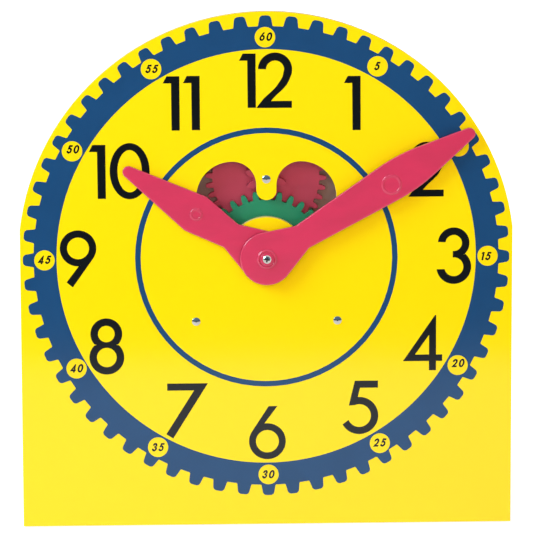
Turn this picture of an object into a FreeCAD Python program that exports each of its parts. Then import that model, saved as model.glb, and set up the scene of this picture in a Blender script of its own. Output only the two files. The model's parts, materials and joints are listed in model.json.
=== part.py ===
import FreeCAD, Part
import math
import os
import re
import Sketcher
from fcgear import fcgear
from fcgear import involute

# A geared teaching clock: an arched dial board that leans back on a wire bail, with a
# twelve-to-one gear train behind a window above the hub. Every piece of the dial is drawn in
# the dial's own frame: origin on the hub axis at the board's front face, x to the right, y up
# the board and z forward, out of the face. Depths behind the face are negative. Only the bail
# has a frame of its own, on its pivot. Angles are in degrees.

SIZES = {
    # board and stance
    "board_width": 324.6,
    "board_height": 342.9,
    "arch_surplus": 1.3,
    "board_thickness": 4.8,
    "hub_height": 180.3,
    "lean": 11.0,
    # gear window: two lobes either side of a tab, above a round island that holds the hub
    "lobe_offset": 22.5,
    "lobe_rise": 40.2,
    "lobe_radius": 23.6,
    "tab_width": 13.2,
    "tab_reach": 38.1,
    "island_radius": 26.7,
    "pane_thickness": 1.2,
    "pane_lap": 2.4,
    "pane_drop": 12.0,
    "pane_corner": 12.0,
    # gear train
    "gear_centres": 52.0,
    "hour_teeth": 32.0,
    "idler_pinion_teeth": 8.0,
    "idler_teeth": 36.0,
    "minute_pinion_teeth": 12.0,
    "pressure_angle": 20.0,
    "pinion_shift": 0.5,
    "wheel_shift": -0.55,
    "pinion_addendum": 0.8,
    "pinion_dedendum": 1.25,
    "wheel_addendum": 1.0,
    "wheel_dedendum": 1.15,
    "tooth_root_round": 0.38,
    "tip_easing": 0.5,
    "wheel_thickness": 3.2,
    "hour_wheel_turn": 1.27,
    "idler_turn": 1.45,
    "idler_boss_radius": 6.5,
    "wheel_margin": 6.0,
    # depths between the moving layers
    "pane_gap": 0.9,
    "gear_gap": 0.6,
    "cover_gap": 1.3,
    "end_play": 0.2,
    "thin_play": 0.3,
    # pressed-steel back cover
    "sheet_thickness": 1.0,
    "cover_margin": 3.5,
    "flange_width": 5.0,
    "ear_radius": 8.0,
    "cover_round": 3.0,
    # hub stack
    "running_gap": 0.05,
    "arbor_radius": 3.0,
    "tube_wall": 1.45,
    "bushing_wall": 1.45,
    "bushing_flange_radius": 9.0,
    "bushing_flange": 1.0,
    "bushing_tail": 0.6,
    "lock_ring_radius": 9.5,
    "lock_ring_thickness": 0.5,
    "hand_thickness": 2.2,
    "hand_gap": 0.5,
    "tube_tail": 0.4,
    "washer_radius": 8.0,
    "washer_thickness": 0.5,
    "spigot_radius": 2.2,
    "pinion_seat_radius": 2.6,
    "journal_radius": 2.0,
    "journal_tail": 2.4,
    "spigot_recess": 0.4,
    "groove_depth": 0.4,
    "groove_play": 0.05,
    "clip_radius": 4.2,
    "clip_thickness": 0.5,
    "clip_mouth": 2.6,
    "rear_bushing_radius": 3.5,
    "rear_flange_radius": 5.5,
    "rear_flange": 0.8,
    "spring_washer_radius": 5.5,
    "spring_washer_sheet": 0.25,
    "spring_washer_dish": 0.45,
    "spring_washer_seat": 0.1,
    "screw_head_radius": 2.8,
    "screw_head_height": 1.4,
    "screw_head_edge": 0.3,
    "screw_turn": 10.0,
    "screw_shank_radius": 1.2,
    "screw_length": 6.0,
    "recess_length": 3.6,
    "recess_width": 1.0,
    "recess_depth": 0.8,
    # minute hand
    "hub_disc_radius": 17.6,
    "minute_neck": 27.3,
    "minute_neck_half": 8.6,
    "minute_shoulder": 108.5,
    "minute_shoulder_half": 13.5,
    "minute_shoulder_round": 118.0,
    "minute_length": 160.2,
    "minute_tip_radius": 3.9,
    "minute_turn": 58.36,
    "minute_boss_radius": 6.3,
    "minute_boss_height": 1.3,
    "collar_radius": 4.2,
    "collar_height": 0.6,
    "boss_groove_radius": 5.2,
    "boss_groove_depth": 0.5,
    "minute_disc_place": 95.4,
    "minute_disc_aside": 1.5,
    "minute_disc_radius": 6.5,
    "disc_height": 0.6,
    "disc_edge_round": 0.4,
    "disc_rim": 1.3,
    "disc_recess": 0.25,
    # hour hand
    "hour_neck": 27.8,
    "hour_neck_half": 9.0,
    "hour_shoulder": 55.5,
    "hour_shoulder_half": 13.3,
    "hour_shoulder_round": 6.0,
    "hour_length": 111.3,
    "hour_tip_radius": 3.9,
    "hour_turn": 302.6,
    "hour_disc_place": 55.0,
    "hour_disc_radius": 4.0,
    "hand_edge_round": 0.7,
    "neck_round": 3.0,
    # rivets and their washers
    "rivet_radius": 1.9,
    "rivet_head_radius": 2.75,
    "rivet_head_height": 1.0,
    "rivet_head_edge": 0.2,
    "rivet_clearance": 0.05,
    "rivet_washer_radius": 4.2,
    "rivet_washer_thickness": 0.6,
    "side_rivet_gap": 10.28,
    "side_rivet_angle": 42.44,
    "sleeve_wall": 1.25,
    # stand
    "bracket_thickness": 1.2,
    "bracket_radius": 8.0,
    "bracket_below_pivot": 3.3,
    "lug_radius": 5.0,
    "knuckle_rise": 14.0,
    "knuckle_wall": 1.35,
    "knuckle_length": 11.0,
    "knuckle_play": 2.0,
    "wire_radius": 2.0,
    "wire_bend": 4.0,
    "foot_bend": 14.0,
    "leg_offset": 77.0,
    "heel_play": 0.5,
    "heel_length": 14.0,
    "stand_spread": 30.4,
    "foot_sleeve_radius": 3.6,
    "foot_sleeve_length": 24.0,
    "foot_sleeve_offset": 45.0,
}

# Depths of the layers, front to back, as formulas of the sizes.
BOARD_BACK = "(0 - board_thickness)"
PANE_BACK = f"({BOARD_BACK} - pane_thickness)"
HOUR_WHEEL_FRONT = f"({PANE_BACK} - pane_gap)"
HOUR_WHEEL_BACK = f"({HOUR_WHEEL_FRONT} - wheel_thickness)"
IDLER_FRONT = f"({HOUR_WHEEL_BACK} - gear_gap)"
IDLER_BACK = f"({IDLER_FRONT} - wheel_thickness)"
COVER_INSIDE = f"({IDLER_BACK} - cover_gap)"
COVER_BACK = f"({COVER_INSIDE} - sheet_thickness)"
EAR_BACK = f"({BOARD_BACK} - sheet_thickness)"
BRACKET_BACK = f"({EAR_BACK} - bracket_thickness)"

# Heights in front of the face.
HOUR_HAND_BACK = "(bushing_flange + hand_gap)"
HOUR_HAND_FRONT = f"({HOUR_HAND_BACK} + hand_thickness)"
TUBE_FRONT = f"({HOUR_HAND_FRONT} + tube_tail)"
WASHER_BACK = f"({TUBE_FRONT} + end_play)"
MINUTE_HAND_BACK = f"({WASHER_BACK} + washer_thickness)"
MINUTE_HAND_FRONT = f"({MINUTE_HAND_BACK} + hand_thickness)"
COLLAR_TOP = f"({MINUTE_HAND_FRONT} + minute_boss_height + collar_height)"

# Radii of the nested shafts.
TUBE_BORE = "(arbor_radius + running_gap)"
TUBE_RADIUS = f"({TUBE_BORE} + tube_wall)"
BUSHING_BORE = f"({TUBE_RADIUS} + running_gap)"
BUSHING_RADIUS = f"({BUSHING_BORE} + bushing_wall)"
SLEEVE_BORE = "(rivet_radius + rivet_clearance)"
SLEEVE_RADIUS = f"({SLEEVE_BORE} + sleeve_wall)"
KNUCKLE_BORE = "(wire_radius + running_gap)"
KNUCKLE_RADIUS = f"({KNUCKLE_BORE} + knuckle_wall)"

# Modules that let each pair run on the same two axes.
HOUR_MODULE = "(2 * gear_centres / (hour_teeth + idler_pinion_teeth))"
MINUTE_MODULE = "(2 * gear_centres / (idler_teeth + minute_pinion_teeth))"

# Radius of the board's arch, a little more than half its width.
ARCH_RADIUS = "(board_width / 2 + arch_surplus)"

# Window pane, and the cover that closes over it and over the larger wheel.
PANE_HALF = "(lobe_offset + lobe_radius + pane_lap)"
WHEEL_TIP = f"({HOUR_MODULE} * (hour_teeth / 2 + wheel_addendum + wheel_shift))"
COVER_INNER = f"max({PANE_HALF} + cover_margin; {WHEEL_TIP} + wheel_margin)"
COVER_OUTER = f"({COVER_INNER} + sheet_thickness)"

# Side rivets, outside the cover's wall on a slant below the hub.
RIVET_REACH = f"({COVER_OUTER} + side_rivet_gap)"
RIVET_ACROSS = f"({RIVET_REACH} * cos(side_rivet_angle))"
RIVET_DROP = f"({RIVET_REACH} * sin(side_rivet_angle))"

# The bail across the board, from the leg inward: knuckle, then heel.
KNUCKLE_END = "(leg_offset - wire_bend - knuckle_play)"
KNUCKLE_START = f"({KNUCKLE_END} - knuckle_length)"
HEEL_OFFSET = f"({KNUCKLE_START} - wire_bend - heel_play)"

# Pivot of the bail: up from the side rivets, its wire just clear of the bracket.
PIVOT_DROP = f"({RIVET_DROP} - knuckle_rise)"
PIVOT_DEPTH = f"({BRACKET_BACK} - wire_radius - thin_play)"
PIVOT_HEIGHT = f"(hub_height - {PIVOT_DROP})"
LIFT = "(board_thickness * sin(lean))"
PIVOT_RISE = f"({PIVOT_HEIGHT} * cos(lean) + {PIVOT_DEPTH} * sin(lean) + {LIFT})"
PIVOT_SETBACK = f"({PIVOT_HEIGHT} * sin(lean) - {PIVOT_DEPTH} * cos(lean))"
FOOT_DROP = f"({PIVOT_RISE} - foot_sleeve_radius)"
LEG_LENGTH = f"sqrt({FOOT_DROP} ^ 2 + stand_spread ^ 2)"
LEG_SWING = f"(lean + atan(stand_spread / {FOOT_DROP}) / 1 deg)"

# Limits of the drawing itself: how near counts as touching, the least height of an upright
# edge, and how much of a narrow tooth tip its easing may take at each end.
TOUCH = 1e-3
UPRIGHT = 0.1
TIP_SHARE = 0.35

doc = FreeCAD.newDocument("TeachingClock")
sheet = doc.addObject("Spreadsheet::Sheet", "Sizes")
parts = []


def fill_sheet():
    """Write one named cell for every driving size."""
    for row, (name, size) in enumerate(SIZES.items(), start=1):
        sheet.set(f"A{row}", name.replace("_", " "))
        sheet.set(f"B{row}", str(size))
        sheet.setAlias(f"B{row}", name)
    doc.recompute()


def bound(formula):
    """Point every size named in a formula at its cell."""
    def cell(word):
        return f"Sizes.{word.group()}" if word.group() in SIZES else word.group()

    return re.sub(r"[a-z_]+", cell, formula)


def value(formula):
    """The number that a formula of the sizes comes to."""
    result = sheet.evalExpression(bound(formula))
    return float(getattr(result, "Value", result))


def point(x, y):
    """A sketch point from two formulas."""
    return FreeCAD.Vector(value(x), value(y), 0)


# ---------------------------------------------------------------- sketches and features


def new_body(label):
    body = doc.addObject("PartDesign::Body", label)
    body.Label = label
    return body


def sketch_on(body, plane="XY_Plane", offset="0"):
    """A sketch on one of the body's own origin planes, moved along its normal."""
    sketch = body.newObject("Sketcher::SketchObject", f"{body.Label}_sketch")
    support = next(item for item in body.Origin.OriginFeatures if item.Role == plane)
    sketch.AttachmentSupport = [(support, "")]
    sketch.MapMode = "FlatFace"
    sketch.setExpression(".AttachmentOffset.Base.z", bound(offset))
    return sketch


def bind(sketch, kind, *where_and_formula):
    """Add one dimension to a sketch and tie it to a formula."""
    *where, formula = where_and_formula
    index = sketch.addConstraint(Sketcher.Constraint(kind, *where, value(formula)))
    sketch.setExpression(f"Constraints[{index}]", bound(formula))


def place_point(sketch, geometry, vertex, x, y):
    """Tie a sketch point to its two coordinates."""
    bind(sketch, "DistanceX", -1, 1, geometry, vertex, x)
    bind(sketch, "DistanceY", -1, 1, geometry, vertex, y)


def place_middle(sketch, geometry):
    """Tie the centre of an arc to the sketch's y axis."""
    relate(sketch, "PointOnObject", geometry, 3, -2)


def relate(sketch, kind, *where):
    sketch.addConstraint(Sketcher.Constraint(kind, *where))


def dome(start, end):
    """An arc between two points whose centre lies on the y axis."""
    height = (end.dot(end) - start.dot(start)) / (2 * (end.y - start.y))
    centre = FreeCAD.Vector(0, height, 0)
    angles = [math.degrees(math.atan2(spot.y - height, spot.x)) for spot in (start, end)]
    return centre, (end - centre).Length, *angles


def polygon(sketch, corners, domed=()):
    """A closed run of lines, every corner tied to its formulas; the domed ones bulge as arcs."""
    spots = [point(x, y) for x, y in corners]
    first = sketch.GeometryCount
    for index, (start, end) in enumerate(zip(spots, spots[1:] + spots[:1])):
        if index in domed:
            place_middle(sketch, arc(sketch, *dome(start, end)))
        else:
            line(sketch, start, end)
    for index, (x, y) in enumerate(corners):
        following = first + (index + 1) % len(corners)
        relate(sketch, "Coincident", first + index, 2, following, 1)
        place_point(sketch, first + index, 1, x, y)


def circle(sketch, x, y, radius):
    spot = point(x, y)
    index = sketch.addGeometry(Part.Circle(spot, FreeCAD.Vector(0, 0, 1), value(radius)))
    place_point(sketch, index, 3, x, y)
    bind(sketch, "Radius", index, radius)


def arc(sketch, centre, radius, start, end):
    """Part of a circle, counter-clockwise from one angle to the other; returns its index."""
    whole = Part.Circle(centre, FreeCAD.Vector(0, 0, 1), radius)
    return sketch.addGeometry(Part.ArcOfCircle(whole, math.radians(start), math.radians(end)))


def line(sketch, start, end):
    return sketch.addGeometry(Part.LineSegment(start, end))


def around(centre, radius, angle):
    """The point at an angle on a circle."""
    turn = math.radians(angle)
    return centre + FreeCAD.Vector(radius * math.cos(turn), radius * math.sin(turn), 0)


def slot(sketch, start, end, radius):
    """A straight slot between two points given as formula pairs."""
    low, high = point(*start), point(*end)
    reach = value(radius)
    heading = math.degrees(math.atan2(high.y - low.y, high.x - low.x))
    first = arc(sketch, low, reach, heading + 90, heading + 270)
    right = line(sketch, around(low, reach, heading - 90), around(high, reach, heading - 90))
    second = arc(sketch, high, reach, heading - 90, heading + 90)
    left = line(sketch, around(high, reach, heading + 90), around(low, reach, heading + 90))
    relate(sketch, "Tangent", first, 2, right, 1)
    relate(sketch, "Tangent", right, 2, second, 1)
    relate(sketch, "Tangent", second, 2, left, 1)
    relate(sketch, "Tangent", left, 2, first, 1)
    relate(sketch, "Equal", first, second)
    place_point(sketch, first, 3, *start)
    place_point(sketch, second, 3, *end)
    bind(sketch, "Radius", first, radius)


def pad(body, sketch, length):
    """Material from the sketch's plane backward, away from the viewer."""
    feature = body.newObject("PartDesign::Pad", f"{body.Label}_pad")
    feature.Profile = sketch
    feature.Reversed = True
    feature.setExpression("Length", bound(length))
    doc.recompute()
    return feature


def pocket(body, sketch, depth):
    """A cut from the sketch's plane backward."""
    before = body.Shape.Volume
    feature = body.newObject("PartDesign::Pocket", f"{body.Label}_pocket")
    feature.Profile = sketch
    feature.setExpression("Length", bound(depth))
    doc.recompute()
    if not body.Shape.Volume < before:
        raise RuntimeError(f"{feature.Name} cuts nothing")
    return feature


def turn(body, corners, domed=()):
    """A full turn about z of a closed profile of (radius, z) corners."""
    sketch = sketch_on(body, "XZ_Plane")
    polygon(sketch, corners, domed)
    feature = body.newObject("PartDesign::Revolution", f"{body.Label}_turning")
    feature.Profile = sketch
    feature.ReferenceAxis = (sketch, ["V_Axis"])
    feature.Angle = 360
    doc.recompute()
    return feature


def ring(label, inner, outer, back, front):
    """A flat washer, collar or tube."""
    body = new_body(label)
    turn(body, [(inner, back), (outer, back), (outer, front), (inner, front)])
    return body


def edge_names(shape, chosen):
    """The names of the edges that a test picks."""
    return [f"Edge{index}" for index, edge in enumerate(shape.Edges, start=1) if chosen(edge)]


def flat_at(height):
    """Tests for edges that lie wholly at one z."""
    level = value(height)

    def lies_there(edge):
        box = edge.BoundBox
        return abs(box.ZMin - level) < TOUCH and abs(box.ZMax - level) < TOUCH

    return lies_there


def upright_near(x, y):
    """Tests for edges along z at one point, on either side of the x axis."""
    spot = point(x, y)

    def stands_there(edge):
        box = edge.BoundBox
        centre = box.Center
        near = math.hypot(centre.x - spot.x, abs(centre.y) - abs(spot.y)) < TOUCH
        return near and box.ZLength > UPRIGHT

    return stands_there


def soften(body, chosen, radius):
    """Round the edges of a body's latest feature that a test picks."""
    base = body.Tip
    names = edge_names(base.Shape, chosen)
    if not names:
        raise RuntimeError(f"{body.Label} has no such edge to round")
    feature = body.newObject("PartDesign::Fillet", f"{body.Label}_round")
    feature.Base = (base, names)
    feature.setExpression("Radius", bound(radius))
    doc.recompute()
    return feature


def copies(label, shape, spots):
    """One node of identical separate solids."""
    group = doc.addObject("Part::Feature", label)
    placed = []
    for spot in spots:
        solid = shape.copy()
        solid.Placement = spot.multiply(solid.Placement)
        placed.append(solid)
    group.Shape = Part.makeCompound(placed)
    return group


def shift(x="0", y="0", z="0"):
    """A move by three formulas."""
    return FreeCAD.Placement(FreeCAD.Vector(value(x), value(y), value(z)), FreeCAD.Rotation())


def spin(clockwise):
    """A turn about the dial's normal, clockwise for the viewer."""
    return FreeCAD.Placement(
        FreeCAD.Vector(), FreeCAD.Rotation(FreeCAD.Vector(0, 0, 1), -clockwise)
    )


# ---------------------------------------------------------------- where the clock stands


def stance():
    """Carries the dial's frame to the standing clock, whose origin is under its middle."""
    lean = math.radians(value("lean"))
    foot_back = value(f"{PIVOT_SETBACK} + stand_spread + foot_sleeve_radius")
    top_back = value("board_thickness * cos(lean) + board_height * sin(lean)")
    depth = max(foot_back, top_back)
    hub = value("hub_height")
    place = FreeCAD.Vector(0, hub * math.sin(lean) - depth / 2, hub * math.cos(lean) + value(LIFT))
    return FreeCAD.Placement(place, FreeCAD.Rotation(FreeCAD.Vector(1, 0, 0), 90 - value("lean")))


def finish(part, place=None):
    """Stand a piece in its place on the clock and list it as a node."""
    whole = stance() if place is None else stance().multiply(place)
    part.Placement = whole
    parts.append(part)


# ---------------------------------------------------------------- board and window


def face_board():
    """Hardboard dial: straight sides, arched top, gear window and fixing holes."""
    body = new_body("face_board")
    half = "board_width / 2"
    rise = f"(board_height - {ARCH_RADIUS} - hub_height)"
    sketch = sketch_on(body)
    radius = value(ARCH_RADIUS)
    centre = point("0", rise)
    start = math.degrees(math.acos(value(half) / radius))
    foot_left = point(f"0 - {half}", "0 - hub_height")
    foot_right = point(half, "0 - hub_height")
    bottom = line(sketch, foot_left, foot_right)
    right = line(sketch, foot_right, around(centre, radius, start))
    top = arc(sketch, centre, radius, start, 180 - start)
    left = line(sketch, around(centre, radius, 180 - start), foot_left)
    for first, second in ((bottom, right), (right, top), (top, left), (left, bottom)):
        relate(sketch, "Coincident", first, 2, second, 1)
    relate(sketch, "Vertical", right)
    relate(sketch, "Vertical", left)
    place_point(sketch, top, 3, "0", rise)
    bind(sketch, "Radius", top, ARCH_RADIUS)
    place_point(sketch, bottom, 1, f"0 - {half}", "0 - hub_height")
    place_point(sketch, bottom, 2, half, "0 - hub_height")
    pad(body, sketch, "board_thickness")
    window = sketch_on(body)
    window_outline(window)
    pocket(body, window, "board_thickness")
    holes = sketch_on(body)
    circle(holes, "0", "0", BUSHING_RADIUS)
    circle(holes, "0", "gear_centres", SLEEVE_BORE)
    circle(holes, RIVET_ACROSS, f"0 - {RIVET_DROP}", SLEEVE_BORE)
    circle(holes, f"0 - {RIVET_ACROSS}", f"0 - {RIVET_DROP}", SLEEVE_BORE)
    pocket(body, holes, "board_thickness")
    finish(body)


def window_outline(sketch):
    """Two round lobes that meet under the tab, cut off below by the hub's round island."""
    lobe = value("lobe_radius")
    offset = value("lobe_offset")
    rise = value("lobe_rise")
    half_tab = value("tab_width / 2")
    island = value("island_radius")
    inner = offset - half_tab
    tab_centre = point("0", "tab_reach + tab_width / 2")
    inner_rise = rise + lobe - inner
    span = math.hypot(offset, rise)
    along = (span ** 2 + island ** 2 - lobe ** 2) / (2 * span)
    meeting = math.degrees(math.atan2(rise, offset) - math.acos(along / island))
    corner = around(FreeCAD.Vector(), island, meeting)
    lobe_end = math.degrees(math.atan2(corner.y - rise, corner.x - offset))
    outer_right = arc(sketch, FreeCAD.Vector(offset, rise, 0), lobe, lobe_end, 90)
    inner_right = arc(sketch, FreeCAD.Vector(offset, inner_rise, 0), inner, 90, 180)
    side_right = line(
        sketch, FreeCAD.Vector(half_tab, inner_rise, 0), around(tab_centre, half_tab, 0)
    )
    tab = arc(sketch, tab_centre, half_tab, 180, 360)
    side_left = line(
        sketch, around(tab_centre, half_tab, 180), FreeCAD.Vector(-half_tab, inner_rise, 0)
    )
    inner_left = arc(sketch, FreeCAD.Vector(-offset, inner_rise, 0), inner, 0, 90)
    outer_left = arc(sketch, FreeCAD.Vector(-offset, rise, 0), lobe, 90, 180 - lobe_end)
    foot = arc(sketch, FreeCAD.Vector(), island, meeting, 180 - meeting)
    relate(sketch, "Tangent", outer_right, 2, inner_right, 1)
    relate(sketch, "Tangent", inner_right, 2, side_right, 1)
    relate(sketch, "Tangent", side_right, 2, tab, 2)
    relate(sketch, "Tangent", tab, 1, side_left, 1)
    relate(sketch, "Tangent", side_left, 2, inner_left, 1)
    relate(sketch, "Tangent", inner_left, 2, outer_left, 1)
    relate(sketch, "Coincident", outer_left, 2, foot, 2)
    relate(sketch, "Coincident", foot, 1, outer_right, 1)
    relate(sketch, "Vertical", side_right)
    relate(sketch, "Vertical", side_left)
    place_point(sketch, outer_right, 3, "lobe_offset", "lobe_rise")
    place_point(sketch, outer_left, 3, "0 - lobe_offset", "lobe_rise")
    place_point(sketch, tab, 3, "0", "tab_reach + tab_width / 2")
    place_point(sketch, foot, 3, "0", "0")
    bind(sketch, "DistanceX", -1, 1, inner_right, 3, "lobe_offset")
    bind(sketch, "DistanceX", -1, 1, inner_left, 3, "0 - lobe_offset")
    bind(sketch, "Radius", outer_right, "lobe_radius")
    bind(sketch, "Radius", outer_left, "lobe_radius")
    bind(sketch, "Radius", tab, "tab_width / 2")
    bind(sketch, "Radius", foot, "island_radius")


def window_pane():
    """Clear plastic sheet behind the window, pierced for the hub and the idler's rivet."""
    body = new_body("window_pane")
    top = f"({PANE_HALF} - lobe_offset + lobe_rise + pane_lap)"
    sketch = sketch_on(body, offset=BOARD_BACK)
    polygon(
        sketch,
        [
            (f"0 - {PANE_HALF}", "0 - pane_drop"),
            (PANE_HALF, "0 - pane_drop"),
            (PANE_HALF, top),
            (f"0 - {PANE_HALF}", top),
        ],
    )
    pad(body, sketch, "pane_thickness")
    soften(body, upright_near_top(top), "pane_corner")
    holes = sketch_on(body, offset=BOARD_BACK)
    circle(holes, "0", "0", BUSHING_RADIUS)
    circle(holes, "0", "gear_centres", SLEEVE_BORE)
    pocket(body, holes, "pane_thickness")
    finish(body)


def upright_near_top(top):
    """Tests for the upright edges at one height."""
    level = value(top)

    def stands_there(edge):
        box = edge.BoundBox
        return box.ZLength > UPRIGHT and abs(box.Center.y - level) < TOUCH

    return stands_there


# ---------------------------------------------------------------- toothed wheels


def eased(before, after, reach):
    """Two edges cut back from the corner they share, with a curve that joins them smoothly."""
    stop = before.getParameterByLength(before.Length - reach)
    start = after.getParameterByLength(reach)
    bridge = Part.BezierCurve()
    leave, arrive = before.valueAt(stop), after.valueAt(start)
    lead = (arrive - leave).Length / 3
    bridge.setPoles(
        [leave, leave + before.tangentAt(stop) * lead, arrive - after.tangentAt(start) * lead, arrive]
    )
    shortened = before.Curve.toShape(before.FirstParameter, stop)
    return shortened, bridge.toShape(), after.Curve.toShape(start, after.LastParameter)


def tooth_outline(teeth, module, kind):
    """Involute outline of a wheel or a pinion, the corners at its tips eased."""
    builder = fcgear.FCWireBuilder()
    involute.CreateExternalGear(
        builder,
        module,
        teeth,
        value("pressure_angle"),
        split=True,
        addCoeff=value(f"{kind}_addendum"),
        dedCoeff=value(f"{kind}_dedendum"),
        filletCoeff=value("tooth_root_round"),
        shiftCoeff=value(f"{kind}_shift"),
    )
    edges = [curve.toShape() for curve in builder.wire]
    heights = [edge.valueAt((edge.FirstParameter + edge.LastParameter) / 2).Length for edge in edges]
    tips = [index for index, height in enumerate(heights) if height > max(heights) - TOUCH]
    runs = [[edge] for edge in edges]
    for index in tips:
        tip = edges[index]
        reach = min(value("tip_easing"), tip.Length * TIP_SHARE)
        rising, first, tip = eased(edges[index - 1], tip, reach)
        tip, second, falling = eased(tip, edges[index + 1], reach)
        runs[index - 1] = [rising]
        runs[index] = [first, tip, second]
        runs[index + 1] = [falling]
    return Part.Wire([edge for run in runs for edge in run])


def toothed(label, teeth, module, kind, bore, front, length, turned):
    """A toothed wheel with a round bore, extruded backward."""
    hole = Part.Wire(Part.Circle(FreeCAD.Vector(), FreeCAD.Vector(0, 0, 1), value(bore)).toShape())
    outline = doc.addObject("Part::Feature", f"{label}_outline")
    outer = tooth_outline(round(value(teeth)), value(module), kind)
    outline.Shape = Part.Face([outer, hole], "Part::FaceMakerBullseye")
    outline.Placement = FreeCAD.Placement(
        FreeCAD.Vector(0, 0, value(front)), FreeCAD.Rotation(FreeCAD.Vector(0, 0, 1), turned)
    )
    wheel = doc.addObject("Part::Extrusion", label)
    wheel.Base = outline
    wheel.DirMode = "Custom"
    wheel.Dir = FreeCAD.Vector(0, 0, -1)
    wheel.Solid = True
    wheel.setExpression("LengthFwd", bound(length))
    doc.recompute()
    return wheel


def offset_from(direction, turned, teeth):
    """Angle from a direction to the tooth nearest to it."""
    pitch = 360 / teeth
    return (turned - direction + pitch / 2) % pitch - pitch / 2


def meshed_turn(direction, neighbour_turned, neighbour_teeth, teeth):
    """Turn that puts a gap of one wheel on its neighbour's nearest tooth."""
    across = offset_from(direction + 180, neighbour_turned, neighbour_teeth)
    return direction - across * neighbour_teeth / teeth + 180 / teeth


def wheel_turns():
    """Rest angles of the four toothed parts, counter-clockwise from the x axis."""
    hour = 90 - value("hour_wheel_turn")
    idler = 90 - value("idler_turn")
    pinion = meshed_turn(270, hour, value("hour_teeth"), value("idler_pinion_teeth"))
    minute = meshed_turn(90, idler, value("idler_teeth"), value("minute_pinion_teeth"))
    return hour, pinion, idler, minute


def hour_wheel():
    """Large wheel on the hour tube."""
    turned = wheel_turns()[0]
    length = "wheel_thickness"
    wheel = toothed(
        "hour_wheel", "hour_teeth", HOUR_MODULE, "wheel", TUBE_RADIUS, HOUR_WHEEL_FRONT, length, turned
    )
    finish(wheel)


def idler_gear():
    """Compound idler: large wheel, small pinion in front of it and a boss behind."""
    _, small, large, _ = wheel_turns()
    pinion_front = f"({PANE_BACK} - thin_play)"
    pinion_length = f"({pinion_front} - {IDLER_FRONT})"
    bore = f"({SLEEVE_RADIUS} + running_gap)"
    length = "wheel_thickness"
    wheel = toothed(
        "idler_wheel", "idler_teeth", MINUTE_MODULE, "wheel", bore, IDLER_FRONT, length, large
    )
    pinion = toothed(
        "idler_pinion",
        "idler_pinion_teeth",
        HOUR_MODULE,
        "pinion",
        bore,
        pinion_front,
        pinion_length,
        small,
    )
    boss = ring("idler_boss", bore, "idler_boss_radius", f"({COVER_INSIDE} + end_play)", IDLER_BACK)
    solid = doc.addObject("Part::MultiFuse", "idler_gear")
    solid.Shapes = [wheel, pinion, boss]
    solid.Refine = True
    doc.recompute()
    finish(solid, shift(y="gear_centres"))


def minute_pinion():
    """Pinion pressed on the minute arbor, level with the idler's large wheel."""
    turned = wheel_turns()[3]
    front = f"({IDLER_FRONT} + end_play)"
    length = "(wheel_thickness + 2 * end_play)"
    pinion = toothed(
        "minute_pinion",
        "minute_pinion_teeth",
        MINUTE_MODULE,
        "pinion",
        "pinion_seat_radius",
        front,
        length,
        turned,
    )
    finish(pinion)


# ---------------------------------------------------------------- hub stack


def hub_bushing():
    """Flanged bearing through the board, in which the hour tube turns."""
    body = new_body("hub_bushing")
    tail = f"({PANE_BACK} - bushing_tail)"
    turn(
        body,
        [
            (BUSHING_BORE, tail),
            (BUSHING_RADIUS, tail),
            (BUSHING_RADIUS, "0"),
            ("bushing_flange_radius", "0"),
            ("bushing_flange_radius", "bushing_flange"),
            (BUSHING_BORE, "bushing_flange"),
        ],
    )
    finish(body)


def bushing_lock_ring():
    """Push-on ring that clamps the pane and the board to the bushing's flange."""
    back = f"({PANE_BACK} - lock_ring_thickness)"
    finish(ring("bushing_lock_ring", BUSHING_RADIUS, "lock_ring_radius", back, PANE_BACK))


def hour_tube():
    """Tube that joins the hour wheel to the hour hand and turns on the minute arbor."""
    finish(ring("hour_tube", TUBE_BORE, TUBE_RADIUS, HOUR_WHEEL_BACK, TUBE_FRONT))


def hand_washer():
    """Thin washer between the two hands."""
    front = f"({WASHER_BACK} + washer_thickness)"
    finish(ring("hand_washer", TUBE_BORE, "washer_radius", WASHER_BACK, front))


def minute_arbor():
    """Central shaft: spigot for the hand, main bearing, pinion seat and rear journal."""
    body = new_body("minute_arbor")
    front = f"({COLLAR_TOP} - spigot_recess)"
    seat = f"({IDLER_FRONT} + end_play)"
    journal = f"({IDLER_BACK} - end_play)"
    groove = f"({COVER_BACK} - rear_flange - thin_play)"
    groove_back = f"({groove} - clip_thickness - 2 * groove_play)"
    tail = f"({COVER_BACK} - journal_tail)"
    tapped = f"({COLLAR_TOP} - screw_length - thin_play)"
    groove_radius = "(journal_radius - groove_depth)"
    turn(
        body,
        [
            ("screw_shank_radius", front),
            ("spigot_radius", front),
            ("spigot_radius", MINUTE_HAND_BACK),
            ("arbor_radius", MINUTE_HAND_BACK),
            ("arbor_radius", seat),
            ("pinion_seat_radius", seat),
            ("pinion_seat_radius", journal),
            ("journal_radius", journal),
            ("journal_radius", groove),
            (groove_radius, groove),
            (groove_radius, groove_back),
            ("journal_radius", groove_back),
            ("journal_radius", tail),
            ("0", tail),
            ("0", tapped),
            ("screw_shank_radius", tapped),
        ],
    )
    finish(body)


def rear_bushing():
    """Flanged bearing in the back cover for the arbor's journal."""
    body = new_body("rear_bushing")
    bore = "(journal_radius + running_gap)"
    inside = f"({COVER_INSIDE} + end_play)"
    tail = f"({COVER_BACK} - rear_flange)"
    turn(
        body,
        [
            (bore, inside),
            (bore, tail),
            ("rear_flange_radius", tail),
            ("rear_flange_radius", COVER_BACK),
            ("rear_bushing_radius", COVER_BACK),
            ("rear_bushing_radius", inside),
        ],
    )
    finish(body)


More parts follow.
